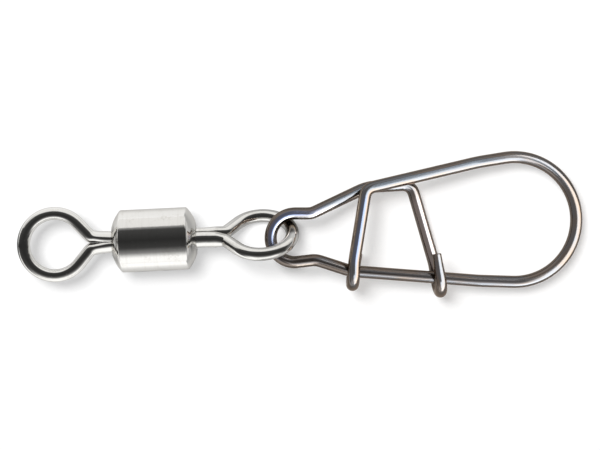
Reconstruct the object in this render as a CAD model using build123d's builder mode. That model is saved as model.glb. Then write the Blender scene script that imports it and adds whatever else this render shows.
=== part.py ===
from build123d import *
from math import acos, asin, atan2, cos, degrees, hypot, pi, radians, sin, sqrt, tan
import os

# A rolling swivel with a bent wire snap, lying on a flat surface.
# Millimetres, +Z up. The barrel's axis runs along X and the snap points to +X.
# Everything is modelled about the middle of the barrel and moved to its resting place at the end.

os.makedirs("parts", exist_ok=True)

# Running clearances
running_gap = 0.06
wire_gap = 0.10
rest_gap = 0.04

# Barrel: a tube whose two ends are rolled in round the shanks of the eyes
barrel_diameter = 3.78
barrel_straight = 4.0
barrel_shoulder = 0.53
barrel_wall = 0.30
barrel_end_face = 1.94
barrel_bulge = 0.06

# Eyes: one folded wire each, pressed together into a shank that ends in an upset head
eye_wire = 0.79
eye_radius = 1.885
eye_throat = 2.21
throat_spread = 0.33
shank_width = 1.28
shank_height = 0.99
shank_seam = 0.05
shank_fold_radius = 0.45
shank_nose = 0.45
head_diameter = 2.30
head_length = 1.50
head_chamfer = 0.35
eye_reach = 4.25
line_eye_play = 0.43
snap_eye_play = 0.02
snap_eye_roll = 52.0

# Snap: one wire, both ends hooked round the lower arm from opposite sides.
# Places are in the snap's own plane, with the middle of its small eye as zero.
snap_wire = 0.74
link_radius = 1.48
link_slack = 0.57
bow_radius = 3.81
bow_x = 13.43
bow_y = 1.12
bow_low_slope = 1.9
bow_top_slope = 9.2
shoulder_x = 11.2
lower_arm_slope = 4.4
upper_arm_slope = 13.3
neck_top_x = 1.00
neck_top_bend = 0.85
neck_low_x = 1.28
neck_low_pinch = 0.15
neck_low_bend = 1.2
knee_low_x = 3.40
knee_low_bend = 3.0
knee_top_x = 4.44
knee_top_rise = 0.085
knee_top_bend = 3.0
knee_top_sink = 0.46
latch_top_x = 7.19
latch_top_drop = 0.405
latch_hook_x = 8.86
latch_lean_x = 8.61
latch_lean_height = 0.80
latch_stub = 2.32
latch_stub_lean = 0.33
guard_top_x = 4.29
guard_hook_x = 3.49
guard_lean_x = 3.53
guard_lean_height = 0.60
guard_stub = 1.95
guard_stub_lean = -0.33
leg_bend = 0.68
lean_bend = 3.0
shoulder_bend = 8.0

# How the snap lies: its small eye rests on the low strand of the snap eye
snap_aside = -0.29
snap_yaw = -2.75
crossing_x = -0.9
crossing_slant = 1.33


barrel_radius = barrel_diameter / 2
half_straight = barrel_straight / 2
half_length = half_straight + barrel_shoulder
end_face_radius = barrel_end_face / 2
bore_radius = shank_width / 2 + running_gap
inner_radius = barrel_radius - barrel_wall
inner_half = half_length - barrel_wall

# The cone inside keeps the wall's thickness all the way round the shoulder
cone_angle = atan2(barrel_radius - end_face_radius, barrel_shoulder)
inner_straight = half_straight - barrel_wall * tan(cone_angle / 2)
inner_face_radius = end_face_radius - barrel_wall * tan((pi / 2 - cone_angle) / 2)


# Barrel, turned as one profile from the bore to the outside
with BuildPart() as barrel:
    with BuildSketch(Plane.XZ):
        with BuildLine():
            Line((0, inner_radius), (0, barrel_radius))
            Line((0, barrel_radius), (half_straight, barrel_radius))
            SagittaArc(
                (half_straight, barrel_radius), (half_length, end_face_radius), -barrel_bulge
            )
            Polyline(
                (half_length, end_face_radius),
                (half_length, bore_radius),
                (inner_half, bore_radius),
                (inner_half, inner_face_radius),
                (inner_straight, inner_radius),
                (0, inner_radius),
            )
        make_face()
    revolve(axis=Axis.X)
    mirror(about=Plane.YZ)


def shank_section(half_width, half_height):
    """Two flattened wires side by side, with a shallow seam between them."""
    lobe = half_width / (1 + sqrt(1 - (1 - shank_seam / half_height) ** 2))
    with Locations((half_width - lobe, 0), (lobe - half_width, 0)):
        Ellipse(lobe, half_height)


def folded_eye():
    """A wire eye along +X: the ring's middle is zero and the head is at eye_reach."""
    strand_y = shank_width / 2 - eye_wire / 2 - 0.01
    throat_away = hypot(eye_throat, throat_spread)
    leave = atan2(throat_spread, eye_throat) + acos(eye_radius / throat_away)
    with BuildPart() as eye:
        # One half of the wire, from the far side of the ring to inside the shank
        with BuildLine() as strand:
            ring = CenterArc((0, 0), eye_radius, 180, degrees(leave) - 180)
            FilletPolyline(
                ring @ 1,
                (eye_throat, throat_spread),
                (eye_throat + shank_nose + eye_wire, strand_y),
                radius=shank_fold_radius,
            )
        with BuildSketch(Plane((-eye_radius, 0, 0), z_dir=(0, 1, 0))):
            Circle(eye_wire / 2)
        sweep(path=strand.wire())
        split(bisect_by=Plane.XZ, keep=Keep.BOTTOM)
        mirror(about=Plane.XZ)
        # The pressed shank swells from the fold to its full section
        with BuildSketch(Plane.YZ.offset(eye_throat - eye_wire / 4)):
            shank_section(shank_width / 2 - 0.03, eye_wire / 2 - 0.03)
        with BuildSketch(Plane.YZ.offset(eye_throat + shank_nose)):
            shank_section(shank_width / 2, shank_height / 2)
        loft()
        with BuildSketch(Plane.YZ.offset(eye_throat + shank_nose)):
            shank_section(shank_width / 2, shank_height / 2)
        extrude(amount=eye_reach + head_length / 2 - eye_throat - shank_nose)
        # The head that the barrel holds
        with BuildSketch(Plane.XZ):
            with BuildLine():
                Polyline(
                    (eye_reach, 0),
                    (eye_reach, head_diameter / 2 - head_chamfer),
                    (eye_reach + head_chamfer, head_diameter / 2),
                    (eye_reach + head_length - head_chamfer, head_diameter / 2),
                    (eye_reach + head_length, head_diameter / 2 - head_chamfer),
                    (eye_reach + head_length, 0),
                    close=True,
                )
            make_face()
        revolve(axis=Axis.X)
    return eye


line_eye = folded_eye()
line_eye.part.move(Location((line_eye_play - inner_half - eye_reach, 0, 0)))

snap_eye_x = inner_half - snap_eye_play + eye_reach
snap_eye = folded_eye()
snap_eye.part.move(Location((0, 0, 0), (0, 0, 180)))
snap_eye.part.move(Location((snap_eye_x, 0, 0), (-snap_eye_roll, 0, 0)))


# Snap wire
layer = snap_wire + wire_gap


# Each arm leaves the bow at a small slope and turns to its own slope at the shoulder
low_leave, top_leave = radians(bow_low_slope), radians(bow_top_slope)
shoulder_low_y = bow_y - bow_radius / cos(low_leave) - (shoulder_x - bow_x) * tan(low_leave)
shoulder_top_y = bow_y + bow_radius / cos(top_leave) + (shoulder_x - bow_x) * tan(top_leave)


def lower_arm_y(x):
    """Height of the lower arm's centreline in the snap's plane."""
    return shoulder_low_y - (x - shoulder_x) * tan(radians(lower_arm_slope))


def upper_arm_y(x):
    """Height of the upper arm's centreline in the snap's plane."""
    return shoulder_top_y + (x - shoulder_x) * tan(radians(upper_arm_slope))


latch_hook_y = lower_arm_y(latch_hook_x) - layer
latch_lean_y = lower_arm_y(latch_lean_x) + latch_lean_height
latch_top_y = upper_arm_y(latch_top_x) - latch_top_drop
knee_top_y = upper_arm_y(knee_top_x) + knee_top_rise
guard_lift = layer - knee_top_sink
guard_lean_y = lower_arm_y(guard_lean_x) + guard_lean_height
guard_hook_y = lower_arm_y(guard_hook_x) - layer
neck_low_y = neck_low_pinch - link_radius
hook_bend = layer - wire_gap / 4

with BuildPart() as snap:
    with BuildLine() as route:
        link = CenterArc((0, 0), link_radius, 90, 180)
        bow = CenterArc(
            (bow_x, bow_y), bow_radius, -90 - bow_low_slope, 180 + bow_low_slope + bow_top_slope
        )
        # The latch end: a stub in front of the lower arm, a hook under it and a leg up behind it
        FilletPolyline(
            (latch_hook_x - latch_stub_lean, latch_hook_y + latch_stub, layer),
            (latch_hook_x, latch_hook_y, layer),
            (latch_hook_x, latch_hook_y, -layer),
            (latch_lean_x, latch_lean_y, -layer),
            (latch_top_x, latch_top_y, -layer),
            (knee_top_x, knee_top_y, -knee_top_sink),
            (neck_top_x, link_radius, 0),
            link @ 0,
            radius=[hook_bend, hook_bend, lean_bend, leg_bend, knee_top_bend, neck_top_bend],
        )
        FilletPolyline(
            link @ 1,
            (neck_low_x, neck_low_y, 0),
            (knee_low_x, lower_arm_y(knee_low_x), 0),
            (shoulder_x, shoulder_low_y, 0),
            bow @ 0,
            radius=[neck_low_bend, knee_low_bend, shoulder_bend],
        )
        # The guard end: the upper arm lifts over the latch, and its leg hooks under the lower arm
        FilletPolyline(
            bow @ 1,
            (shoulder_x, shoulder_top_y, 0),
            (guard_top_x, upper_arm_y(guard_top_x), guard_lift),
            (guard_lean_x, guard_lean_y, layer),
            (guard_hook_x, guard_hook_y, layer),
            (guard_hook_x, guard_hook_y, -layer),
            (guard_hook_x - guard_stub_lean, guard_hook_y + guard_stub, -layer),
            radius=[shoulder_bend, leg_bend, lean_bend, hook_bend, hook_bend],
        )
    path = route.wire()
    with BuildSketch(Plane(origin=path @ 0, z_dir=path % 0)):
        Circle(snap_wire / 2)
    sweep(path=path)

# The hooks lie on the floor and the small eye on the ring, which gives the snap's pitch
ring_end_x = snap_eye_x + eye_radius
snap_x = ring_end_x - eye_wire / 2 - link_slack - snap_wire / 2 + link_radius
crossing_share = (snap_x + crossing_x - snap_eye_x) / eye_radius
ring_sink = eye_radius * sin(radians(snap_eye_roll)) * sqrt(1 - crossing_share**2)
crossing_z = barrel_radius - ring_sink + crossing_slant * ((snap_wire + eye_wire) / 2 + rest_gap)
hook_z = layer + snap_wire / 2
snap_pitch = degrees(asin((crossing_z - hook_z) / (latch_hook_x - crossing_x)))
snap.part.move(Location((snap_x, snap_aside, 0), (0, snap_pitch, snap_yaw)))
snap_drop = -barrel_radius - snap.part.bounding_box().min.Z
snap.part.move(Location((0, 0, snap_drop)))

# Everything goes to its resting place: the middle of the whole part's footprint is the zero
box = barrel.part.bounding_box()
for piece in (line_eye, snap_eye, snap):
    box = box.add(piece.part.bounding_box())
footprint = Location((-box.center().X, -box.center().Y, -box.min.Z))
for piece in (barrel, line_eye, snap_eye, snap):
    piece.part.move(footprint)

barrel.part.label = "barrel"
export_step(barrel.part, "parts/barrel.step")
line_eye.part.label = "line_eye"
export_step(line_eye.part, "parts/line_eye.step")
snap_eye.part.label = "snap_eye"
export_step(snap_eye.part, "parts/snap_eye.step")
snap.part.label = "snap"
export_step(snap.part, "parts/snap.step")
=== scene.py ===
"""A rolling swivel with a bent wire snap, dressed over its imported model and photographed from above."""
import logging
import math
from dataclasses import dataclass, field
from enum import Enum
from typing import Any, Iterable, Sequence

import bpy
import numpy as np
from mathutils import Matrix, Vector


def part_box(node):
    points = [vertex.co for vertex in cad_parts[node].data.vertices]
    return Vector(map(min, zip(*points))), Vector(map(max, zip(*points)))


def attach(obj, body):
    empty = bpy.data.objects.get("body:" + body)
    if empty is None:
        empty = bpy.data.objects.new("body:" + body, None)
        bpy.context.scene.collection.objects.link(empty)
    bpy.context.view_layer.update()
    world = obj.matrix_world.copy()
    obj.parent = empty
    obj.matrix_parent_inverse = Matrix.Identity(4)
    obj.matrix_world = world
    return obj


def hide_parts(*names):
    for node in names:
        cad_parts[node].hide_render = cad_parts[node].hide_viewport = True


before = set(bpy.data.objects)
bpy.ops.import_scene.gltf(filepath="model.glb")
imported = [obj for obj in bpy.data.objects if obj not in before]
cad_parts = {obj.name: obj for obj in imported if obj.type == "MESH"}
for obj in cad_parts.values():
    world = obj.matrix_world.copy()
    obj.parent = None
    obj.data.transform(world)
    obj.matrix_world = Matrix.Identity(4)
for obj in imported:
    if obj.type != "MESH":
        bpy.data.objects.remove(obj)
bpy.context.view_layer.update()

MM = 0.001
WIRE_PLACE = "wire_place"

Pair = tuple[float, float]
Triple = tuple[float, float, float]
Colour = tuple[float, float, float]

log = logging.getLogger("snap_swivel")


class Finish(Enum):
    """The object's two finishes, named as the record's material slots."""

    NICKEL = "bright_nickel"
    WIRE = "black_nickel"


Finished = dict[Finish, list[bpy.types.Object]]


# Shader maths


class Value:
    """A number socket that turns Python arithmetic into Math nodes."""

    def __init__(self, book: "NodeBook", socket: bpy.types.NodeSocket) -> None:
        """Keeps the socket and the book that adds nodes beside it."""
        self.book = book
        self.socket = socket

    def _math(self, operation: str, *numbers: Any) -> "Value":
        """Adds one Math node.

        Args:
            operation: Blender's name of the operation.
            numbers: its inputs, in order, as values or plain numbers.

        Returns:
            The node's result.
        """
        inputs = dict(enumerate(numbers))
        return self.book.node("ShaderNodeMath", {"operation": operation}, inputs).value()

    def __add__(self, other: Any) -> "Value":
        """Sum."""
        return self._math("ADD", self, other)

    __radd__ = __add__

    def __sub__(self, other: Any) -> "Value":
        """Difference."""
        return self._math("SUBTRACT", self, other)

    def __rsub__(self, other: Any) -> "Value":
        """Difference, from a plain number."""
        return self._math("SUBTRACT", other, self)

    def __mul__(self, other: Any) -> "Value":
        """Product."""
        return self._math("MULTIPLY", self, other)

    __rmul__ = __mul__

    def __abs__(self) -> "Value":
        """Size without its sign."""
        return self._math("ABSOLUTE", self)

    def angle_from(self, other: "Value") -> "Value":
        """Angle in degrees whose tangent is this value over the other one."""
        return self._math("ARCTAN2", self, other) * math.degrees(1)

    def clamped(self) -> "Value":
        """Holds the value between 0 and 1.

        Returns:
            The held value.
        """
        held = self + 0.0
        held.socket.node.use_clamp = True
        return held


class Made:
    """A node that was just added, with its outputs at hand."""

    def __init__(self, book: "NodeBook", node: bpy.types.Node) -> None:
        """Keeps the node and its book."""
        self.book = book
        self.node = node

    def out(self, name: str | int = 0) -> bpy.types.NodeSocket:
        """The output socket of that name or place."""
        return self.node.outputs[name]

    def value(self, name: str | int = 0) -> Value:
        """The output as a number that takes arithmetic."""
        return Value(self.book, self.out(name))


@dataclass
class NodeBook:
    """Adds the nodes of one material or world."""

    tree: bpy.types.NodeTree

    def node(
        self, kind: str, settings: dict[str, Any] | None = None, inputs: dict[Any, Any] | None = None
    ) -> Made:
        """Adds a node.

        Args:
            kind: the node's type.
            settings: its own settings, such as a Math node's operation, which are set first.
            inputs: values or links of its sockets, by name or place.

        Returns:
            The node, wrapped.
        """
        made = self.tree.nodes.new(kind)
        for name, value in (settings or {}).items():
            setattr(made, name, value)
        for name, value in (inputs or {}).items():
            self.feed(made.inputs[name], value)
        return Made(self, made)

    def feed(self, socket: bpy.types.NodeSocket, value: Any) -> None:
        """Links or sets one socket.

        Args:
            socket: the socket to fill.
            value: an output, a Value, or a constant.
        """
        if isinstance(value, Value):
            value = value.socket
        if isinstance(value, Made):
            value = value.out()
        if isinstance(value, bpy.types.NodeSocket):
            self.tree.links.new(value, socket)
        else:
            socket.default_value = value

    def mix(self, share: Any, first: Any, second: Any) -> bpy.types.NodeSocket:
        """Mixes two colours.

        Args:
            share: how much of the second, 0 to 1.
            first: colour at 0, as an output or three numbers.
            second: colour at 1, likewise.

        Returns:
            The mixed colour.
        """
        made = self.node("ShaderNodeMix", {"data_type": "RGBA"}, {"Factor": share})
        for place, colour in ((6, first), (7, second)):
            self.feed(made.node.inputs[place], (*colour, 1) if isinstance(colour, tuple) else colour)
        return made.out(2)

    def axes(self, vector: Any) -> tuple[Value, Value, Value]:
        """A vector's parts along X, Y and Z."""
        parts = self.node("ShaderNodeSeparateXYZ", {}, {0: vector})
        return parts.value(0), parts.value(1), parts.value(2)

    def noise(self, vector: Any, scale: Triple, detail: float, distortion: float = 0.0) -> Value:
        """Soft noise on a vector whose parts are multiplied first, through one Mapping node.

        Args:
            vector: where to read the noise.
            scale: features per unit of the vector, along each of its parts.
            detail: how many finer layers the noise has.
            distortion: how far its features are bent.

        Returns:
            A value from 0 to 1.
        """
        scaled = self.node("ShaderNodeMapping", {}, {"Vector": vector, "Scale": scale})
        inputs = {"Vector": scaled, "Scale": 1.0, "Detail": detail, "Distortion": distortion}
        return self.node("ShaderNodeTexNoise", {}, inputs).value("Fac")


def step(value: Value, start: float, end: float) -> Value:
    """Rises smoothly from 0 at start to 1 at end, or falls where end is below start.

    Args:
        value: the number to read.
        start: where the result is 0.
        end: where the result is 1.

    Returns:
        A value from 0 to 1.
    """
    return value.book.node(
        "ShaderNodeMapRange",
        {"interpolation_type": "SMOOTHSTEP"},
        {"Value": value, "From Min": start, "From Max": end},
    ).value()


@dataclass(frozen=True)
class Band:
    """A tone that sets in smoothly from start to end."""

    tone: float
    start: float
    end: float

    def at(self, value: Value) -> Value:
        """The tone at this value."""
        return step(value, self.start, self.end) * self.tone


# Finishes


def new_metal(name: str, edge_tint: Colour) -> tuple[bpy.types.Material, NodeBook, bpy.types.Node]:
    """Starts a metal's material.

    Args:
        name: the material's name.
        edge_tint: the tint of its mirror at a glancing angle.

    Returns:
        The material, the book for its nodes, and its Principled shader.
    """
    material = bpy.data.materials.new(name)
    material.use_nodes = True
    shader = material.node_tree.nodes["Principled BSDF"]
    shader.inputs["Metallic"].default_value = 1.0
    shader.inputs["Specular Tint"].default_value = (*edge_tint, 1)
    return material, NodeBook(material.node_tree), shader


def dress(shader: bpy.types.Node, colour: Any, roughness: Value, height: Value, depth: float) -> None:
    """Feeds a metal's shader with what varies over its surface.

    Args:
        shader: the Principled shader.
        colour: its colour.
        roughness: its roughness.
        height: the relief, in units of depth.
        depth: the relief's unit, in metres.
    """
    book = roughness.book
    bump = book.node("ShaderNodeBump", {}, {"Height": height, "Distance": depth, "Strength": 1.0})
    book.feed(shader.inputs["Base Color"], colour)
    book.feed(shader.inputs["Roughness"], roughness)
    book.feed(shader.inputs["Normal"], bump)


@dataclass(frozen=True)
class BrightNickel:
    """Polished nickel plate: near mirror, with faint turning lines and small dull spots.

    The barrel also has long streaks round it. At the end of the snap eye a darker, duller patch is
    painted shade, which stops its highlight where the snap's small eye hangs in it; the last two
    pairs give where that patch sets in along X and Y, in metres.
    """

    name: str = Finish.NICKEL.value
    clean: Colour = (0.80, 0.79, 0.765)
    dull: Colour = (0.70, 0.685, 0.65)
    # painted shade: the darker plate at the snap eye's far end
    painted_end_shade: Colour = (0.20, 0.195, 0.18)
    edge_tint: Colour = (0.72, 0.71, 0.69)
    polish: float = 0.055
    dullness: float = 0.07
    painted_end_shade_dullness: float = 0.12
    line_dullness: float = 0.04
    line_width: float = 0.09 * MM
    line_depth: float = 0.0016 * MM
    spot_size: float = 0.9 * MM
    specks_per_spot: float = 7.0
    speck_share: float = 0.3
    speck_height: float = 0.5
    spotted: Pair = (0.5, 0.72)
    streak_depth: float = 0.0
    streak_size: Pair = (0.14 * MM, 2.6 * MM)
    streak_share: float = 0.3
    streaked: Pair = (0.45, 0.75)
    # where the painted shade at the snap eye's end sets in
    painted_end_shade_x: Pair = (-1.05 * MM, -0.75 * MM)
    painted_end_shade_y: Pair = (-0.05 * MM, 0.15 * MM)

    def material(self, lines_along: Triple) -> bpy.types.Material:
        """Builds the material.

        Args:
            lines_along: for each axis, how much longer than wide the lines are; 1 across them.

        Returns:
            The finished material.
        """
        made, book, shader = new_metal(self.name, self.edge_tint)
        place = book.node("ShaderNodeTexCoord").out("Object")
        x, y, _ = book.axes(place)
        lines_across = tuple(1 / (self.line_width * along) for along in lines_along)
        lines = book.noise(place, lines_across, detail=3.0)
        spots = book.noise(place, (1 / self.spot_size,) * 3, detail=4.0, distortion=0.6)
        specks = book.noise(place, (self.specks_per_spot / self.spot_size,) * 3, detail=2.0)
        worn = step(spots * (1 - self.speck_share) + specks * self.speck_share, *self.spotted)
        height = (lines + specks * self.speck_height) * self.line_depth
        if self.streak_depth:
            wide, long = self.streak_size
            streaks = book.noise(place, (1 / wide, 1 / long, 1 / long), detail=3.0)
            worn = (worn + step(streaks, *self.streaked) * self.streak_share).clamped()
            height = height + streaks * self.streak_depth
        # painted shade: a darker, duller patch at the snap eye's end, in colour and roughness
        painted_end_shade = step(x, *self.painted_end_shade_x) * step(y, *self.painted_end_shade_y)
        colour = book.mix(painted_end_shade, book.mix(worn, self.clean, self.dull), self.painted_end_shade)
        dullness = worn * self.dullness + painted_end_shade * self.painted_end_shade_dullness + lines * self.line_dullness
        dress(shader, colour, dullness + self.polish, height, 1.0)
        return made


@dataclass(frozen=True)
class Cast:
    """A stretch of the wire with another colour on the faces that look one way. Where it picks faces by
    their direction it is painted light, such as highlights, shade and tinted reflections in the colour.

    Millimetres along the wire, with a fade at each end. The tone sets in where the normal's part
    along facing goes from the first of turned to the second.
    """

    colour: Colour
    start: float
    end: float
    fade: float
    facing: Triple = (0.0, 0.0, 1.0)
    turned: Pair = (0.88, 0.98)

    def over(self, colour: Any, along: Value, normal: bpy.types.NodeSocket) -> bpy.types.NodeSocket:
        """Lays this tone over a colour.

        Args:
            colour: the plate's colour so far.
            along: the place along the wire.
            normal: the surface's normal.

        Returns:
            The colour with this tone in it.
        """
        book = along.book
        inputs = {0: normal, 1: self.facing}
        toward = book.node("ShaderNodeVectorMath", {"operation": "DOT_PRODUCT"}, inputs).value("Value")
        rise = step(along, self.start - self.fade, self.start)
        fall = step(along, self.end + self.fade, self.end)
        return book.mix(rise * fall * step(toward, *self.turned), colour, self.colour)


@dataclass(frozen=True)
class BlackNickel:
    """Dark nickel on drawn wire: brown and blue clouds, fine lines along the wire, and painted light.

    The casts are, in turn: a paler latch leg; painted dark reflection with a blue tint on the tops of
    the run from the latch to the neck; the small eye's painted blue top and painted highlight on its
    inner side; painted shade on the lower arm's top; painted dark reflection with a blue tint on the
    tops of the upper arm and the guard leg; and the guard leg's painted blue top. The flanks are
    browner and lighter, a painted reflection, and a painted highlight on the guard leg's left edge
    goes over them.
    """

    name: str = Finish.WIRE.value
    brown: Colour = (0.148, 0.128, 0.114)
    blue: Colour = (0.124, 0.131, 0.143)
    casts: tuple[Cast, ...] = (
        Cast((0.230, 0.215, 0.220), 5.2, 8.8, 0.8, turned=(-1.2, -1.1)),
        # painted dark reflection with a blue tint on the tops of the run to the neck
        Cast((0.104, 0.114, 0.128), 11.0, 15.0, 2.0),
        # painted blue tint on the small eye's top, beside its highlight
        Cast((0.105, 0.128, 0.200), 18.0, 19.5, 3.0, turned=(0.84, 0.97)),
        # painted highlight on the small eye's inner side
        Cast((0.300, 0.300, 0.310), 15.5, 21.2, 0.8, (0.707, -0.707, 0.0), (0.20, 0.55)),
        # painted shade on the lower arm's top, which puts out its reflection
        Cast((0.036, 0.033, 0.032), 21.5, 36.0, 2.0),
        # painted dark reflection with a blue tint on the tops of the upper arm and the guard leg
        Cast((0.104, 0.114, 0.128), 50.0, 90.0, 3.0),
        # painted blue tint on the guard leg's top, beside its highlight
        Cast((0.105, 0.128, 0.190), 58.0, 61.0, 1.0, turned=(0.84, 0.97)),
    )
    # painted reflection: browner, lighter flanks where the faces turn away from straight up
    painted_flank: Colour = (0.190, 0.155, 0.128)
    painted_flank_turned: Pair = (0.80, 0.45)
    # painted highlight on the guard leg's left edge
    guard_edge_highlight: Cast = Cast((0.48, 0.40, 0.32), 58.0, 61.0, 1.0, (-0.98, 0.17, 0.0), (0.52, 0.70))
    edge_tint: Colour = (0.85, 0.75, 0.68)
    polish: float = 0.09
    line_dullness: float = 0.08
    speck_dullness: float = 0.05
    line_depth: float = 0.0022 * MM
    speck_height: float = 0.3
    lines: Triple = (9.0, 9.0, 1 / 3.0)
    clouds: Triple = (0.9, 0.9, 1 / 2.2)
    specks: Triple = (6.0, 6.0, 12.0)
    clouded: Pair = (0.38, 0.62)

    def material(self) -> bpy.types.Material:
        """Builds the material on the wire's own attribute: cosine and sine round it, mm along it.

        Returns:
            The finished material.
        """
        made, book, shader = new_metal(self.name, self.edge_tint)
        place = book.node("ShaderNodeAttribute", {"attribute_name": WIRE_PLACE}).out("Vector")
        normal = book.node("ShaderNodeTexCoord").out("Normal")
        along = book.axes(place)[2]
        upward = book.axes(normal)[2]
        lines = book.noise(place, self.lines, detail=3.0)
        clouds = book.noise(place, self.clouds, detail=3.0)
        specks = book.noise(place, self.specks, detail=2.0)
        colour = book.mix(step(clouds, *self.clouded), self.brown, self.blue)
        # the casts paint highlights, shade and tinted reflections by the faces' direction; only the latch
        # leg's is a paler plate
        for cast in self.casts:
            colour = cast.over(colour, along, normal)
        # painted reflection: browner, lighter flanks
        colour = book.mix(step(upward, *self.painted_flank_turned), colour, self.painted_flank)
        # painted highlight on the guard leg's left edge
        colour = self.guard_edge_highlight.over(colour, along, normal)
        roughness = lines * self.line_dullness + specks * self.speck_dullness + self.polish
        dress(shader, colour, roughness, lines + specks * self.speck_height, self.line_depth)
        return made


# Surfaces


class Ends(Enum):
    """How a grid of rings closes along its length."""

    POLES = "a single point at each end"
    LOOP = "the last ring joins the first"


@dataclass
class Skin:
    """Rings of points, as an array of stations by points round by 3, that make one closed surface."""

    rings: np.ndarray
    ends: Ends
    place: np.ndarray | None = None

    def move(self, turn: np.ndarray, offset: Sequence[float]) -> None:
        """Turns the rings by a matrix, shifts them by millimetres, and makes them metres."""
        self.rings = (self.rings @ turn.T + offset) * MM

    def rows(self, grid: np.ndarray) -> np.ndarray:
        """Lays a grid's vectors in a row, with one mean vector for a whole ring at a pole.

        Args:
            grid: stations by points round by 3.

        Returns:
            The rows, in the order of the mesh's points.
        """
        if self.ends is Ends.LOOP:
            return grid.reshape(-1, 3)
        first, last = grid[0].mean(0, keepdims=True), grid[-1].mean(0, keepdims=True)
        return np.vstack([first, grid[1:-1].reshape(-1, 3), last])

    def faces(self, start: int) -> list[list[int]]:
        """Quads between neighbouring rings, and a fan of triangles at each pole.

        Args:
            start: the number of the surface's first point.

        Returns:
            Each face's point numbers.
        """
        count, around = self.rings.shape[:2]
        here = np.arange(around)
        ahead = (here + 1) % around
        if self.ends is Ends.LOOP:
            row = np.arange(count)[:, None] * around
            after = np.roll(row, -1, axis=0)
            quads = np.stack([row + here, row + ahead, after + ahead, after + here], -1)
            return (quads.reshape(-1, 4) + start).tolist()
        row = np.arange(count - 3)[:, None] * around + 1
        after = row + around
        quads = np.stack([row + here, row + ahead, after + ahead, after + here], -1)
        top = (count - 3) * around + 1
        first_fan = np.stack([0 * here, ahead + 1, here + 1], -1)
        last_fan = np.stack([0 * here + top + around, top + here, top + ahead], -1)
        fans = np.vstack([first_fan, last_fan])
        return (quads.reshape(-1, 4) + start).tolist() + (fans + start).tolist()


def make_piece(name: str, skins: Sequence[Skin], material: bpy.types.Material) -> bpy.types.Object:
    """Puts closed surfaces into one smooth mesh object at the origin.

    Args:
        name: the piece's name.
        skins: its surfaces, with points in metres and faces outwards.
        material: its finish.

    Returns:
        The new object.
    """
    points, faces = np.empty((0, 3)), []
    for skin in skins:
        faces += skin.faces(len(points))
        points = np.vstack([points, skin.rows(skin.rings)])
    mesh = bpy.data.meshes.new(name)
    mesh.from_pydata(points.tolist(), [], faces)
    mesh.polygons.foreach_set("use_smooth", np.ones(len(mesh.polygons), bool))
    if all(skin.place is not None for skin in skins):
        places = np.vstack([skin.rows(skin.place) for skin in skins]).astype(np.float32)
        mesh.attributes.new(WIRE_PLACE, "FLOAT_VECTOR", "POINT").data.foreach_set("vector", places.ravel())
    mesh.materials.append(material)
    mesh.validate()
    mesh.update()
    piece = bpy.data.objects.new(name, mesh)
    bpy.context.scene.collection.objects.link(piece)
    log.info("%s: %d points, %d faces", name, len(mesh.vertices), len(mesh.polygons))
    return piece


def unit(vectors: np.ndarray) -> np.ndarray:
    """Vectors made one long."""
    return vectors / np.linalg.norm(vectors, axis=-1, keepdims=True)


def ease(value: np.ndarray, start: float, end: float) -> np.ndarray:
    """0 up to start, 1 from end, and 3t^2 - 2t^3 between."""
    share = np.clip((value - start) / (end - start), 0, 1)
    return share * share * (3 - 2 * share)


def circle(around: int) -> np.ndarray:
    """Angles evenly round a circle, in radians."""
    return np.linspace(0, 2 * np.pi, around, endpoint=False)


def revolved(outline: np.ndarray, around: int) -> np.ndarray:
    """Turns an outline round X: (along, out) goes to (along, out * cos(angle), out * sin(angle)).

    Args:
        outline: rows of (along, out).
        around: points round the axis.

    Returns:
        One ring for each row.
    """
    angle = circle(around)
    along, out = outline[:, :1], outline[:, 1:2]
    return np.stack([along + 0 * angle, out * np.cos(angle), out * np.sin(angle)], -1)


def turn_about(axis: int, degrees: float) -> np.ndarray:
    """The matrix of a turn: cosines and sines in the two axes that follow its own.

    Args:
        axis: 0, 1 or 2 for X, Y or Z.
        degrees: how far it turns.

    Returns:
        The matrix.
    """
    angle = math.radians(degrees)
    first, second = (axis + 1) % 3, (axis + 2) % 3
    matrix = np.eye(3)
    matrix[first, first] = matrix[second, second] = math.cos(angle)
    matrix[first, second], matrix[second, first] = -math.sin(angle), math.sin(angle)
    return matrix


def fillet(corners: Sequence[Sequence[float]], radii: Sequence[float], spacing: float) -> np.ndarray:
    """A chain of straight runs with an arc at each inner corner.

    Each arc touches its two runs at radius * tan(half the turn) from the corner, and its points are
    centre + radius * (ahead * sin(angle) - inward * cos(angle)).

    Args:
        corners: the chain's points.
        radii: an arc's radius for each inner corner.
        spacing: the distance between points along an arc.

    Returns:
        Points along the chain, ends included.
    """
    chain = np.array([(*corner, 0.0)[:3] for corner in corners], float)
    parts = [chain[:1]]
    for before, corner, after, radius in zip(chain, chain[1:], chain[2:], radii):
        ahead, beyond = unit(corner - before), unit(after - corner)
        turn = math.acos(float(np.clip(ahead @ beyond, -1, 1)))
        inward = unit(beyond - ahead * (ahead @ beyond))
        centre = corner - ahead * radius * math.tan(turn / 2) + inward * radius
        angle = np.linspace(0, turn, max(3, int(radius * turn / spacing)))[:, None]
        parts.append(centre + radius * (ahead * np.sin(angle) - inward * np.cos(angle)))
    return np.vstack([*parts, chain[-1:]])


def arc(centre: Pair, radius: float, start: float, sweep: float, spacing: float) -> np.ndarray:
    """Points along an arc in the flat plane: centre + radius * (cos(angle), sin(angle)).

    Args:
        centre: the arc's middle.
        radius: its radius.
        start: its first angle, in degrees.
        sweep: how far it goes, in degrees.
        spacing: the distance between points.

    Returns:
        The points, ends included.
    """
    angle = np.radians(start + np.linspace(0, sweep, int(radius * math.radians(sweep) / spacing)))
    x, y = centre[0] + radius * np.cos(angle), centre[1] + radius * np.sin(angle)
    return np.stack([x, y, np.zeros_like(angle)], -1)


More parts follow.
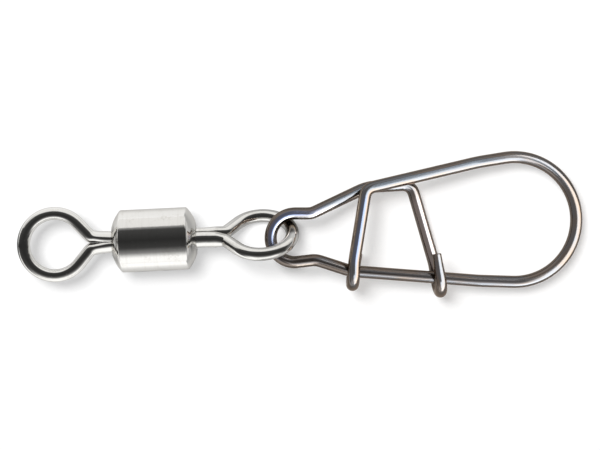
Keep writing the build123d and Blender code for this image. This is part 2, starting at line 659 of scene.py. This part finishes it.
def between(rows: np.ndarray, known: np.ndarray, wanted: np.ndarray) -> np.ndarray:
    """Reads vectors at other places, each part in straight lines between the known ones.

    Args:
        rows: the vectors.
        known: their places.
        wanted: the places to read.

    Returns:
        A vector for each wanted place.
    """
    return np.stack([np.interp(wanted, known, part) for part in rows.T], -1)


@dataclass
class Centreline:
    """A wire's centreline, even along its length, with a frame that doesn't twist suddenly."""

    points: np.ndarray
    along: np.ndarray
    ahead: np.ndarray
    side: np.ndarray
    up: np.ndarray

    @classmethod
    def through(cls, rough: np.ndarray, count: int, softness: float) -> "Centreline":
        """Evens out and softens a rough line.

        The line is read again at even steps of its length, each point is replaced by a bell-weighted
        mean of its neighbours, and the side vector is the flat plane's normal crossed with the
        direction, its sign carried on where the wire turns back under itself. Where the wire is too
        steep for that, the side is read between its neighbours.

        Args:
            rough: points along the line, in mm.
            count: how many points the result has.
            softness: the bell's width, in mm.

        Returns:
            The centreline.
        """
        tiny, steep_below = 1e-6, 0.35
        rough = rough[np.r_[True, np.linalg.norm(np.diff(rough, axis=0), axis=1) > tiny]]
        length = np.r_[0, np.cumsum(np.linalg.norm(np.diff(rough, axis=0), axis=1))]
        along = np.linspace(0, length[-1], count)
        even = between(rough, length, along)
        gap = along[1]
        reach = int(3 * softness / gap) + 1
        bell = np.exp(-0.5 * (np.arange(-reach, reach + 1) * gap / softness) ** 2)
        bell /= bell.sum()
        lead = even[0] + (even[0] - even[1]) * np.arange(reach, 0, -1)[:, None]
        tail = even[-1] + (even[-1] - even[-2]) * np.arange(1, reach + 1)[:, None]
        padded = np.vstack([lead, even, tail])
        soft = np.stack([np.convolve(part, bell, "valid") for part in padded.T], -1)
        ahead = unit(np.gradient(soft, axis=0))
        cross = np.cross((0.0, 0.0, 1.0), ahead)
        sure = np.linalg.norm(cross, axis=1) > steep_below
        sides = unit(cross[sure])
        sides *= np.cumprod(np.r_[1, np.sign(np.sum(sides[1:] * sides[:-1], axis=1))])[:, None]
        side = between(sides, along[sure], along)
        side = unit(side - ahead * np.sum(side * ahead, axis=1, keepdims=True))
        return cls(soft, along, ahead, side, np.cross(ahead, side))


# The swivel


@dataclass
class Barrel:
    """The rolled tube that holds both eyes. Sizes in mm, as the part's source has them."""

    radius: float = 1.89
    half_straight: float = 2.0
    half_length: float = 2.53
    end_face_radius: float = 0.97
    bulge: float = 0.06
    bore_radius: float = 0.70
    wall: float = 0.30
    corner: float = 0.14
    cone_blend: float = 0.6
    rim: float = 0.07
    inner_blends: Triple = (0.05, 0.02, 0.10)
    cone_points: int = 4
    body_rings: int = 10
    around: int = 256
    grain: float = 0.02
    finish: BrightNickel = BrightNickel(streak_depth=0.010 * MM)
    lines_along: Triple = (1.0, 30.0, 30.0)

    @property
    def inner_half(self) -> float:
        """Half of the hollow's length."""
        return self.half_length - self.wall

    def profile(self) -> np.ndarray:
        """Half of the closed outline, from the outside's middle round to the inside's.

        The cone bulges by 4 * bulge * t * (1 - t) square to its chord, and the hollow keeps the
        wall's thickness all the way round the shoulder.

        Returns:
            Rows of (along, out).
        """
        start = np.array([self.half_straight, self.radius])
        chord = np.array([self.half_length, self.end_face_radius]) - start
        square = np.array([-chord[1], chord[0]]) / np.hypot(*chord)
        share = np.linspace(0, 1, self.cone_points + 2)[1:-1, None]
        cone = start + share * chord + 4 * self.bulge * share * (1 - share) * square
        slope = math.atan2(-chord[1], chord[0])
        inner_straight = self.half_straight - self.wall * math.tan(slope / 2)
        inner_end = self.end_face_radius - self.wall * math.tan((math.pi / 2 - slope) / 2)
        corners = [
            (0, self.radius),
            start,
            *cone,
            (self.half_length, self.end_face_radius),
            (self.half_length, self.bore_radius),
            (self.inner_half, self.bore_radius),
            (self.inner_half, inner_end),
            (inner_straight, self.radius - self.wall),
            (0, self.radius - self.wall),
        ]
        radii = [self.corner, *[self.cone_blend] * len(cone), self.rim, self.rim, *self.inner_blends]
        return fillet(corners, radii, self.grain)[:, :2]

    def build(self, centre: np.ndarray) -> bpy.types.Object:
        """Turns the outline and its mirror image round the swivel's axis.

        Args:
            centre: the barrel's middle, in mm.

        Returns:
            The piece.
        """
        half = self.profile()
        share = np.linspace(0, 1, self.body_rings + 2)[1:-1, None]
        half = np.vstack([half[:1] + share * (half[1] - half[0]), half[1:-1]])
        outline = np.vstack([half, half[::-1] * (-1, 1)])
        skin = Skin(revolved(outline, self.around), Ends.LOOP)
        skin.move(np.eye(3), centre)
        return make_piece("barrel_shell", [skin], self.finish.material(self.lines_along))


@dataclass
class WireEye:
    """One eye: a wire folded round into a ring, its strands pressed together into a shank with a head.

    Sizes in mm from the ring's middle, the shank along X. strand_line is one strand's centreline from
    the head to the ring, and each pair below it is where an effect starts and where it is full.
    """

    wire_radius: float = 0.395
    ring_radius: float = 1.885
    strand_line: tuple[Pair, ...] = ((3.40, 0.19), (2.85, 0.245), (2.17, 0.38))
    fold_radii: tuple[float, ...] = (2.0, 2.0, 0.45)
    lobe_width: float = 0.45
    widened: Pair = (2.25, 3.20)
    lobe_height: float = 0.495
    raised: Pair = (2.07, 2.80)
    ridge: float = 2.0
    ridged: Pair = (2.07, 2.47)
    crest: float = 0.0
    crest_fade: Pair = (1.2, 2.0)
    seam_half: float = 0.004
    reach: float = 4.25
    head_radius: float = 1.15
    head_length: float = 1.50
    head_chamfer: float = 0.35
    head_round: float = 0.08
    stations: int = 620
    around: int = 64
    softness: float = 0.07
    grain: float = 0.02

    def centreline(self) -> Centreline:
        """The folded wire from inside the head, round the ring and back.

        Each strand leaves the ring where it touches it: at the throat's own angle plus the angle
        whose cosine is ring_radius over the throat's distance.

        Returns:
            The centreline.
        """
        throat_x, throat_y = self.strand_line[-1]
        away = math.hypot(throat_x, throat_y)
        leave = math.atan2(throat_y, throat_x) + math.acos(self.ring_radius / away)
        tip = (self.ring_radius * math.cos(leave), self.ring_radius * math.sin(leave))
        inside = (self.reach + self.head_length / 2, self.strand_line[0][1])
        strand = fillet([inside, *self.strand_line, tip], self.fold_radii, self.grain)
        sweep = 360 - 2 * math.degrees(leave)
        ring = arc((0, 0), self.ring_radius, math.degrees(leave), sweep, self.grain)
        low = strand * (1, -1, 1)
        line = np.vstack([low, (ring * (1, -1, 1))[1:-1], strand[::-1]])
        return Centreline.through(line, self.stations, self.softness)

    def strand_skin(self) -> Skin:
        """The wire's surface.

        Round it is centre + side * width * c + up * height * s, where (c, s) goes round a circle, and
        round |c|^p + |s|^p = 1 with p below 2 where the press has raised a ridge. On the ring c is less
        by crest * s^2, which moves the wire's crest inwards. Past the throat the section swells to half
        of the shank, and what would pass the middle plane is laid flat on it.

        Returns:
            The closed surface, about the ring's middle.
        """
        line = self.centreline()
        x, y = line.points[:, :1], line.points[:, 1:2]
        width = self.wire_radius + (self.lobe_width - self.wire_radius) * ease(x, *self.widened)
        height = self.wire_radius + (self.lobe_height - self.wire_radius) * ease(x, *self.raised)
        power = 2 + (self.ridge - 2) * ease(x, *self.ridged)
        crest = self.crest * (1 - ease(x, *self.crest_fade))
        cosine, sine = np.cos(circle(self.around)), np.sin(circle(self.around))
        out = (np.abs(cosine) ** power + np.abs(sine) ** power) ** (-1 / power)
        across, above = width * (out * cosine - crest * sine**2), height * out * sine
        rings = line.points[:, None] + across[..., None] * line.side[:, None]
        rings = rings + above[..., None] * line.up[:, None]
        strand = np.sign(y)
        laid = np.maximum(rings[..., 1] * strand, self.seam_half) * strand
        rings[..., 1] = np.where(x > self.ring_radius / 2, laid, rings[..., 1])
        return Skin(rings, Ends.POLES)

    def head_skin(self) -> Skin:
        """The head that the barrel holds, turned round the shank's axis.

        Returns:
            The closed surface, about the ring's middle.
        """
        near, far, chamfer = self.reach, self.reach + self.head_length, self.head_chamfer
        corners = [
            (near, 0.0),
            (near, self.head_radius - chamfer),
            (near + chamfer, self.head_radius),
            (far - chamfer, self.head_radius),
            (far, self.head_radius - chamfer),
            (far, 0.0),
        ]
        outline = fillet(corners, [self.head_round] * 4, self.grain)
        return Skin(revolved(outline, self.around), Ends.POLES)

    def build(
        self, name: str, centre: Sequence[float], turn: np.ndarray, material: bpy.types.Material
    ) -> bpy.types.Object:
        """Makes the eye where it belongs.

        Args:
            name: the piece's name.
            centre: the ring's middle, in mm.
            turn: the matrix that turns its shank and its ring.
            material: its finish.

        Returns:
            The piece.
        """
        skins = [self.strand_skin(), self.head_skin()]
        for skin in skins:
            skin.move(turn, centre)
        return make_piece(name, skins, material)


# The snap


@dataclass
class SnapWire:
    """The snap: one wire whose two ends hook round the lower arm from opposite sides.

    Sizes in mm and degrees. Places are in the snap's own plane, with the middle of its small eye as
    zero, as the part's source has them. pitch, yaw and link_height say how it lies.
    """

    wire_radius: float = 0.37
    layer: float = 0.84
    link_radius: float = 1.48
    bow_radius: float = 3.81
    bow: Pair = (13.43, 1.12)
    bow_low_slope: float = 1.9
    bow_top_slope: float = 9.2
    shoulder_x: float = 11.2
    lower_slope: float = 4.4
    upper_slope: float = 13.3
    neck_top_x: float = 1.00
    neck_low_x: float = 1.28
    neck_low_pinch: float = 0.15
    knee_low_x: float = 3.40
    knee_top_x: float = 4.44
    knee_top_rise: float = 0.085
    knee_top_sink: float = 0.46
    latch_top_x: float = 7.19
    latch_top_drop: float = 0.405
    latch_hook_x: float = 8.86
    latch_lean_x: float = 8.61
    latch_lean_height: float = 0.80
    latch_stub: Pair = (-0.33, 2.32)
    guard_top_x: float = 4.29
    guard_hook_x: float = 3.49
    guard_lean_x: float = 3.53
    guard_lean_height: float = 0.60
    guard_stub: Pair = (0.33, 1.95)
    hook_bend: float = 0.815
    lean_bend: float = 3.0
    leg_bend: float = 0.68
    knee_bend: float = 3.0
    neck_top_bend: float = 0.85
    neck_low_bend: float = 1.2
    shoulder_bend: float = 8.0
    pitch: float = 3.2995
    yaw: float = -2.75
    link_height: float = 1.70417
    end_round: float = 0.07
    end_taper: float = 0.26
    taper_length: float = 1.9
    stations: int = 1150
    around: int = 48
    softness: float = 0.10
    grain: float = 0.03
    finish: BlackNickel = BlackNickel()

    def shoulder_y(self, side: float, leave: float) -> float:
        """Height at the shoulder of the line that touches the bow's arc.

        Args:
            side: 1 for the upper arm, -1 for the lower one.
            leave: the line's slope, in degrees.

        Returns:
            The height in the snap's own plane.
        """
        slope = math.radians(leave)
        reach = self.bow_radius / math.cos(slope) + (self.shoulder_x - self.bow[0]) * math.tan(slope)
        return self.bow[1] + side * reach

    def lower_y(self, x: float) -> float:
        """Height of the lower arm at x."""
        fall = (x - self.shoulder_x) * math.tan(math.radians(self.lower_slope))
        return self.shoulder_y(-1, self.bow_low_slope) - fall

    def upper_y(self, x: float) -> float:
        """Height of the upper arm at x."""
        rise = (x - self.shoulder_x) * math.tan(math.radians(self.upper_slope))
        return self.shoulder_y(1, self.bow_top_slope) + rise

    def route(self) -> np.ndarray:
        """The wire's line in its own plane, from the latch's stub to the guard's.

        Returns:
            Points along the line.
        """
        link = arc((0, 0), self.link_radius, 90, 180, self.grain)
        sweep = 180 + self.bow_low_slope + self.bow_top_slope
        bow = arc(self.bow, self.bow_radius, -90 - self.bow_low_slope, sweep, self.grain)
        latch_x, latch_y = self.latch_hook_x, self.lower_y(self.latch_hook_x) - self.layer
        guard_x, guard_y = self.guard_hook_x, self.lower_y(self.guard_hook_x) - self.layer
        latch = [
            (latch_x + self.latch_stub[0], latch_y + self.latch_stub[1], self.layer),
            (latch_x, latch_y, self.layer),
            (latch_x, latch_y, -self.layer),
            (self.latch_lean_x, self.lower_y(self.latch_lean_x) + self.latch_lean_height, -self.layer),
            (self.latch_top_x, self.upper_y(self.latch_top_x) - self.latch_top_drop, -self.layer),
            (self.knee_top_x, self.upper_y(self.knee_top_x) + self.knee_top_rise, -self.knee_top_sink),
            (self.neck_top_x, self.link_radius, 0),
            link[0],
        ]
        latch_bends = [self.hook_bend] * 2 + [self.lean_bend, self.leg_bend, self.knee_bend]
        lower = [
            link[-1],
            (self.neck_low_x, self.neck_low_pinch - self.link_radius, 0),
            (self.knee_low_x, self.lower_y(self.knee_low_x), 0),
            (self.shoulder_x, self.lower_y(self.shoulder_x), 0),
            bow[0],
        ]
        lower_bends = [self.neck_low_bend, self.knee_bend, self.shoulder_bend]
        guard = [
            bow[-1],
            (self.shoulder_x, self.upper_y(self.shoulder_x), 0),
            (self.guard_top_x, self.upper_y(self.guard_top_x), self.layer - self.knee_top_sink),
            (self.guard_lean_x, self.lower_y(self.guard_lean_x) + self.guard_lean_height, self.layer),
            (guard_x, guard_y, self.layer),
            (guard_x, guard_y, -self.layer),
            (guard_x + self.guard_stub[0], guard_y + self.guard_stub[1], -self.layer),
        ]
        guard_bends = [self.shoulder_bend, self.leg_bend, self.lean_bend] + [self.hook_bend] * 2
        return np.vstack(
            [
                fillet(latch, [*latch_bends, self.neck_top_bend], self.grain),
                link[1:-1],
                fillet(lower, lower_bends, self.grain),
                bow[1:-1],
                fillet(guard, guard_bends, self.grain),
            ]
        )

    def skin(self) -> Skin:
        """The wire's surface: centre + radius * (side * cos + up * sin).

        Each end is flat, with rings that widen from a point to the face's edge, and then a quarter
        round. The radius is tapered towards the latch's end.

        Returns:
            The closed surface, with the wire's own coordinates.
        """
        line = Centreline.through(self.route(), self.stations, self.softness)
        total = line.along[-1]
        face, margin = np.array([0.0, 0.4, 0.8]), 0.02
        turn = np.linspace(0, np.pi / 2, 6)
        rim = self.end_round
        lip = np.r_[face, 1 - rim / self.wire_radius * (1 - np.sin(turn))]
        back = np.r_[0 * face, rim * (1 - np.cos(turn))]
        body = line.along[(line.along > rim + margin) & (line.along < total - rim - margin)]
        along = np.r_[back, body, (total - back)[::-1]]
        scale = np.r_[lip, np.ones(len(body)), lip[::-1]]
        taper = 1 - self.end_taper * (1 - ease(along, 0.0, self.taper_length))
        radius = (self.wire_radius * scale * taper)[:, None, None]
        centre, side, up = (between(rows, line.along, along) for rows in (line.points, line.side, line.up))
        angle = circle(self.around)
        cosine, sine = np.cos(angle)[None, :, None], np.sin(angle)[None, :, None]
        rings = centre[:, None] + radius * (cosine * side[:, None] + sine * up[:, None])
        place = np.broadcast_arrays(cosine[..., 0], sine[..., 0], along[:, None])
        return Skin(rings, Ends.POLES, np.stack(place, -1))

    def build(self, link: Pair) -> bpy.types.Object:
        """Lays the snap down on its hooks, its small eye resting on the swivel's ring.

        Args:
            link: the small eye's middle along X and Y, in mm.

        Returns:
            The piece.
        """
        skin = self.skin()
        skin.move(turn_about(1, self.pitch) @ turn_about(2, self.yaw), (*link, self.link_height))
        return make_piece("snap_wire", [skin], self.finish.material())


# The studio


@dataclass(frozen=True)
class Panel:
    """A flat lit panel that one finish mirrors.

    Sizes in metres, turn in degrees about X; unturned it faces down. A white panel has tone 1.
    """

    name: str
    mirrored_by: Finish
    tone: float
    colour: Colour
    place: Triple
    size: Pair
    turn: float = 0.0

    @classmethod
    def overhead(cls, name: str, tone: float, colour: Colour, height: float, x: Pair, y: Pair) -> "Panel":
        """A level panel for the dark wire, from its edges along X and Y.

        Args:
            name: the panel's name.
            tone: how bright it is.
            colour: its tint.
            height: above the floor.
            x: its left and right edge.
            y: its front and back edge.

        Returns:
            The panel.
        """
        place = ((x[0] + x[1]) / 2, (y[0] + y[1]) / 2, height)
        return cls(name, Finish.WIRE, tone, colour, place, (x[1] - x[0], y[1] - y[0]))


PANELS = (
    Panel.overhead("cool_edge", 1.6, (0.78, 0.90, 1.0), 0.30, (0.06, 0.115), (-1.2, 0.25)),
    Panel.overhead("window", 6.5, (1.0, 0.99, 0.97), 0.30, (0.11, 0.80), (-2.4, 0.25)),
    Panel.overhead("warm_end", 6.5, (1.0, 0.86, 0.70), 0.30, (0.80, 3.7), (-2.4, 0.25)),
    Panel.overhead("slot", 4.6, (1.0, 1.0, 1.0), 0.70, (-0.08, 0.25), (-1.2, -0.25)),
    Panel.overhead("ceiling", 0.6, (1.0, 0.88, 0.79), 0.80, (-4.0, 4.0), (-4.0, 4.0)),
    Panel("back_wall", Finish.NICKEL, 0.5, (1.0, 0.99, 0.97), (0.0, 0.6, 0.25), (2.4, 0.5), -90.0),
)


@dataclass(frozen=True)
class ShadowLamp:
    """A square lamp whose light only the pieces of one finish block.

    Sizes are in metres, and share is its part of the light. The swivel stands higher than the snap,
    so its lamp is steeper, and both shadows end as far from the metal.
    """

    name: str
    blocked_by: Finish
    place: Triple
    size: float
    share: float


SHADOW_LAMPS = (
    ShadowLamp("swivel_lamp", Finish.NICKEL, (-0.160, 0.200, 0.800), 0.34, 0.52),
    ShadowLamp("snap_lamp", Finish.WIRE, (-0.325, 0.305, 0.800), 0.44, 0.55),
)


@dataclass(frozen=True)
class Floor:
    """A wide pale floor that shows white where no shadow falls on it.

    It returns tone of the light, and for camera rays its glow adds what is missing up to white. In
    the metal's mirror it glows in front of the swivel and behind it, as a lit table does, and is
    dimmed elsewhere: all over, more under the snap, more still under the small eye, and past the
    line eye. Bands and pairs are places in metres.
    """

    size: float = 3.0
    tone: float = 0.97
    glow: float = 0.045
    front_glow: Band = Band(0.5, -3 * MM, -12 * MM)
    back_glow: Band = Band(0.2, 2 * MM, 6 * MM)
    swivel_side: Pair = (-2 * MM, -7 * MM)
    dimming: float = 0.18
    snap_dimming: float = 0.18
    link_dimming: Band = Band(0.18, 3 * MM, 0.5 * MM)
    line_dimming: Band = Band(0.68, -17 * MM, -18.5 * MM)
    line_width: Pair = (3.5 * MM, 1.5 * MM)

    def build(self) -> bpy.types.Object:
        """Makes the floor, a single square.

        Returns:
            The floor's object.
        """
        half = self.size / 2
        corners = [(-half, -half, 0), (half, -half, 0), (half, half, 0), (-half, half, 0)]
        mesh = bpy.data.meshes.new("floor")
        mesh.from_pydata(corners, [], [(0, 1, 2, 3)])
        mesh.materials.append(self.material())
        floor = bpy.data.objects.new("floor", mesh)
        bpy.context.scene.collection.objects.link(floor)
        return floor

    def material(self) -> bpy.types.Material:
        """Builds the floor's material.

        To light that comes from the floor the metal mirrors nothing, which direct is for, so the
        metal throws no light back on the floor beside it.

        Returns:
            The finished material.
        """
        material = bpy.data.materials.new("pale_floor")
        material.use_nodes = True
        material.node_tree.nodes.clear()
        book = NodeBook(material.node_tree)
        path = book.node("ShaderNodeLightPath")
        x, y, _ = book.axes(book.node("ShaderNodeTexCoord").out("Object"))
        mirrored = path.value("Is Glossy Ray")
        direct = (1 - path.value("Diffuse Depth")).clamped()
        left = step(x, *self.swivel_side)
        right = (1 - left) * (self.link_dimming.at(x) + self.snap_dimming)
        beyond = self.line_dimming.at(x) * step(abs(y), *self.line_width)
        table = left * (self.front_glow.at(y) + self.back_glow.at(y))
        shown = direct * (1 - (right + beyond + self.dimming))
        tone = (1 - mirrored * (1 - shown)) * self.tone
        glow = path.value("Is Camera Ray") * self.glow + mirrored * direct * table
        matt = book.node("ShaderNodeBsdfDiffuse", {}, {"Color": tone})
        shine = book.node("ShaderNodeEmission", {}, {"Strength": glow})
        both = book.node("ShaderNodeAddShader", {}, {0: matt, 1: shine})
        book.node("ShaderNodeOutputMaterial", {}, {"Surface": both})
        return material


@dataclass(frozen=True)
class Surroundings:
    """Even light for matt surfaces, white for the camera, and a studio's bands for metal.

    Metal sees a dark strip overhead along X, where the camera hangs, a light wall behind it (+Y), a
    white one in front (-Y), and dimmer ends. Walls go by degrees from straight up towards +Y, and
    their ends by the direction's part along X. Towards the left the wall behind starts lower down.
    As on the floor, light that comes from the floor finds none of this in the metal's mirror.
    """

    ambient: float = 0.05
    overhead: float = 0.037
    rise_per_degree: float = 0.0010
    wall: Band = Band(0.48, 38, 54)
    wall_sinks: Band = Band(14, -0.3, -0.6)
    wall_left: Pair = (-0.85, -0.5)
    front: tuple[Band, Band] = (Band(0.27, -24, -52), Band(1.2, -44, -70))
    front_left: Pair = (-0.85, -0.42)
    walls_right: Pair = (0.90, 0.55)
    right_end: Band = Band(0.22, 0.90, 1.0)

    def build(self) -> None:
        """Makes the world's light."""
        world = bpy.data.worlds.new("studio")
        bpy.context.scene.world = world
        world.use_nodes = True
        world.node_tree.nodes.clear()
        world.cycles.sampling_method = "NONE"
        book = NodeBook(world.node_tree)
        x, y, z = book.axes(book.node("ShaderNodeTexCoord").out("Generated"))
        across = y.angle_from(z)
        right = step(x, *self.walls_right)
        behind = self.wall.at(across - self.wall_sinks.at(x)) * step(x, *self.wall_left) * right
        front = (self.front[0].at(across) + self.front[1].at(across)) * step(x, *self.front_left) * right
        overhead = abs(across) * self.rise_per_degree + self.overhead
        tone = overhead + behind + front + self.right_end.at(x)
        path = book.node("ShaderNodeLightPath")
        mirrored, seen = path.value("Is Glossy Ray"), path.value("Is Camera Ray")
        direct = (1 - path.value("Diffuse Depth")).clamped()
        strength = mirrored * direct * tone + (1 - mirrored) * (seen + (1 - seen) * self.ambient)
        light = book.node("ShaderNodeBackground", {}, {"Strength": strength})
        book.node("ShaderNodeOutputWorld", {}, {"Surface": light})


@dataclass
class Studio:
    """Pale floor, soft light from the upper left, and a camera straight above.

    The camera's sizes are in mm, and its clipping distances in metres.
    """

    camera_place: Pair = (-0.059, 0.471)
    camera_turn: float = -2.747
    camera_height: float = 100.0
    view_width: float = 36.3
    focus_height: float = 1.89
    sensor_width: float = 36.0
    clip: Pair = (0.001, 20.0)
    floor: Floor = Floor()
    surroundings: Surroundings = Surroundings()

    def build(self, finished: Finished) -> None:
        """Makes the camera, the floor, the lamps and the world.

        Args:
            finished: the pieces of each finish.
        """
        self.camera()
        self.floor.build()
        for lamp in SHADOW_LAMPS:
            self.shadow_lamp(lamp, finished[lamp.blocked_by])
        for panel in PANELS:
            self.panel(panel, finished[panel.mirrored_by])
        self.surroundings.build()
        bpy.context.scene.view_settings.view_transform = "Standard"

    def camera(self) -> None:
        """Puts the camera above the object, its picture as wide as the photograph's frame."""
        data = bpy.data.cameras.new("camera")
        data.sensor_width = self.sensor_width
        data.lens = self.sensor_width * self.camera_height / self.view_width
        data.clip_start, data.clip_end = self.clip
        camera = bpy.data.objects.new("camera", data)
        bpy.context.scene.collection.objects.link(camera)
        camera.location = Vector((*self.camera_place, self.focus_height + self.camera_height)) * MM
        camera.rotation_euler = (0, 0, math.radians(self.camera_turn))
        bpy.context.scene.camera = camera

    def area_lamp(self, name: str, size: Pair, power: float, place: Triple) -> bpy.types.Object:
        """Adds an area lamp.

        Args:
            name: the lamp's name.
            size: its width and height, in metres.
            power: in watts.
            place: its middle, in metres.

        Returns:
            The lamp's object, facing down.
        """
        data = bpy.data.lights.new(name, "AREA")
        data.shape = "RECTANGLE"
        data.size, data.size_y = size
        data.energy = power
        lamp = bpy.data.objects.new(name, data)
        lamp.location = place
        bpy.context.scene.collection.objects.link(lamp)
        return lamp

    def group(self, name: str, pieces: list[bpy.types.Object]) -> bpy.types.Collection:
        """Gathers pieces for a lamp's light linking.

        Args:
            name: the collection's name.
            pieces: what goes into it.

        Returns:
            The new collection.
        """
        group = bpy.data.collections.new(name)
        for piece in pieces:
            group.objects.link(piece)
        return group

    def shadow_lamp(self, source: ShadowLamp, blockers: list[bpy.types.Object]) -> None:
        """Adds a square lamp that faces the object and that no metal mirrors.

        It lights the floor with power * cos(zenith) / (pi * distance^2).

        Args:
            source: the lamp's place, size and share.
            blockers: the pieces that block it.
        """
        toward = Vector(source.place)
        power = source.share * math.pi**2 * toward.length**3 / toward.z
        lamp = self.area_lamp(source.name, (source.size, source.size), power, source.place)
        lamp.rotation_mode = "QUATERNION"
        lamp.rotation_quaternion = toward.to_track_quat("Z", "Y")
        lamp.visible_glossy = False
        lamp.light_linking.blocker_collection = self.group(source.name, blockers)

    def panel(self, panel: Panel, mirrors: list[bpy.types.Object]) -> None:
        """Hangs a lit panel that only some pieces mirror.

        Args:
            panel: the panel.
            mirrors: the pieces that it lights.
        """
        power = panel.tone * math.pi * panel.size[0] * panel.size[1]
        lamp = self.area_lamp(panel.name, panel.size, power, panel.place)
        lamp.data.color = panel.colour
        lamp.rotation_euler = (math.radians(panel.turn), 0, 0)
        lamp.light_linking.receiver_collection = self.group(panel.name, mirrors)


# The whole


@dataclass
class SnapSwivel:
    """The whole object: swivel and snap, each piece riding on its body. Sizes in mm and degrees."""

    line_eye_play: float = 0.43
    snap_eye_play: float = 0.02
    snap_eye_roll: float = -52.0
    link_slack: float = 0.57
    link_aside: float = -0.29
    barrel: Barrel = field(default_factory=Barrel)
    line_wire: WireEye = field(default_factory=lambda: WireEye(ridge=1.6, crest=0.11))
    snap_eye_wire: WireEye = field(default_factory=WireEye)
    eye_finish: BrightNickel = BrightNickel()
    eye_lines_along: Triple = (2.0, 2.0, 2.0)
    snap: SnapWire = field(default_factory=SnapWire)

    def build(self) -> Finished:
        """Builds every piece from the barrel's place outwards.

        A head stands its play away from the end wall, which places its ring, and the snap's small
        eye hangs inside the end of the ring with some slack.

        Returns:
            The pieces of each finish.
        """
        low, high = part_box("barrel")
        centre = np.array((low + high) / 2) / MM
        line_ring = centre - (self.barrel.inner_half + self.line_wire.reach - self.line_eye_play, 0, 0)
        snap_ring = centre + (self.barrel.inner_half + self.snap_eye_wire.reach - self.snap_eye_play, 0, 0)
        ring_inside = snap_ring[0] + self.snap_eye_wire.ring_radius - self.snap_eye_wire.wire_radius
        link_x = ring_inside - self.link_slack - self.snap.wire_radius + self.snap.link_radius
        rolled = turn_about(0, self.snap_eye_roll) @ turn_about(2, 180)
        shell = self.barrel.build(centre)
        nickel = self.eye_finish.material(self.eye_lines_along)
        swivel = {
            "barrel": shell,
            "line_eye": self.line_wire.build("line_eye_wire", line_ring, np.eye(3), nickel),
            "snap_eye": self.snap_eye_wire.build("snap_eye_wire", snap_ring, rolled, nickel),
        }
        snap = self.snap.build((link_x, centre[1] + self.link_aside))
        for node, piece in swivel.items():
            self.seat(piece, node)
        self.seat(snap, "snap")
        return {Finish.NICKEL: list(swivel.values()), Finish.WIRE: [snap]}

    def seat(self, piece: bpy.types.Object, node: str) -> None:
        """Puts a piece on its body, in place of its node.

        Args:
            piece: the finished piece.
            node: the node it stands for, which is also its body's name.
        """
        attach(piece, node)
        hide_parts(node)
        low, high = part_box(node)
        corners = np.array([piece.matrix_world @ Vector(corner) for corner in piece.bound_box])
        log.info(
            "%s leaves its node's box by %s and %s mm",
            piece.name,
            np.round((corners.min(0) - np.array(low)) / MM, 3),
            np.round((corners.max(0) - np.array(high)) / MM, 3),
        )


def main() -> None:
    """Builds the object and its studio, and reports each piece."""
    logging.basicConfig(level=logging.INFO, format="%(name)s: %(message)s")
    finished = SnapSwivel().build()
    Studio().build(finished)


if __name__ == "__main__":
    main()
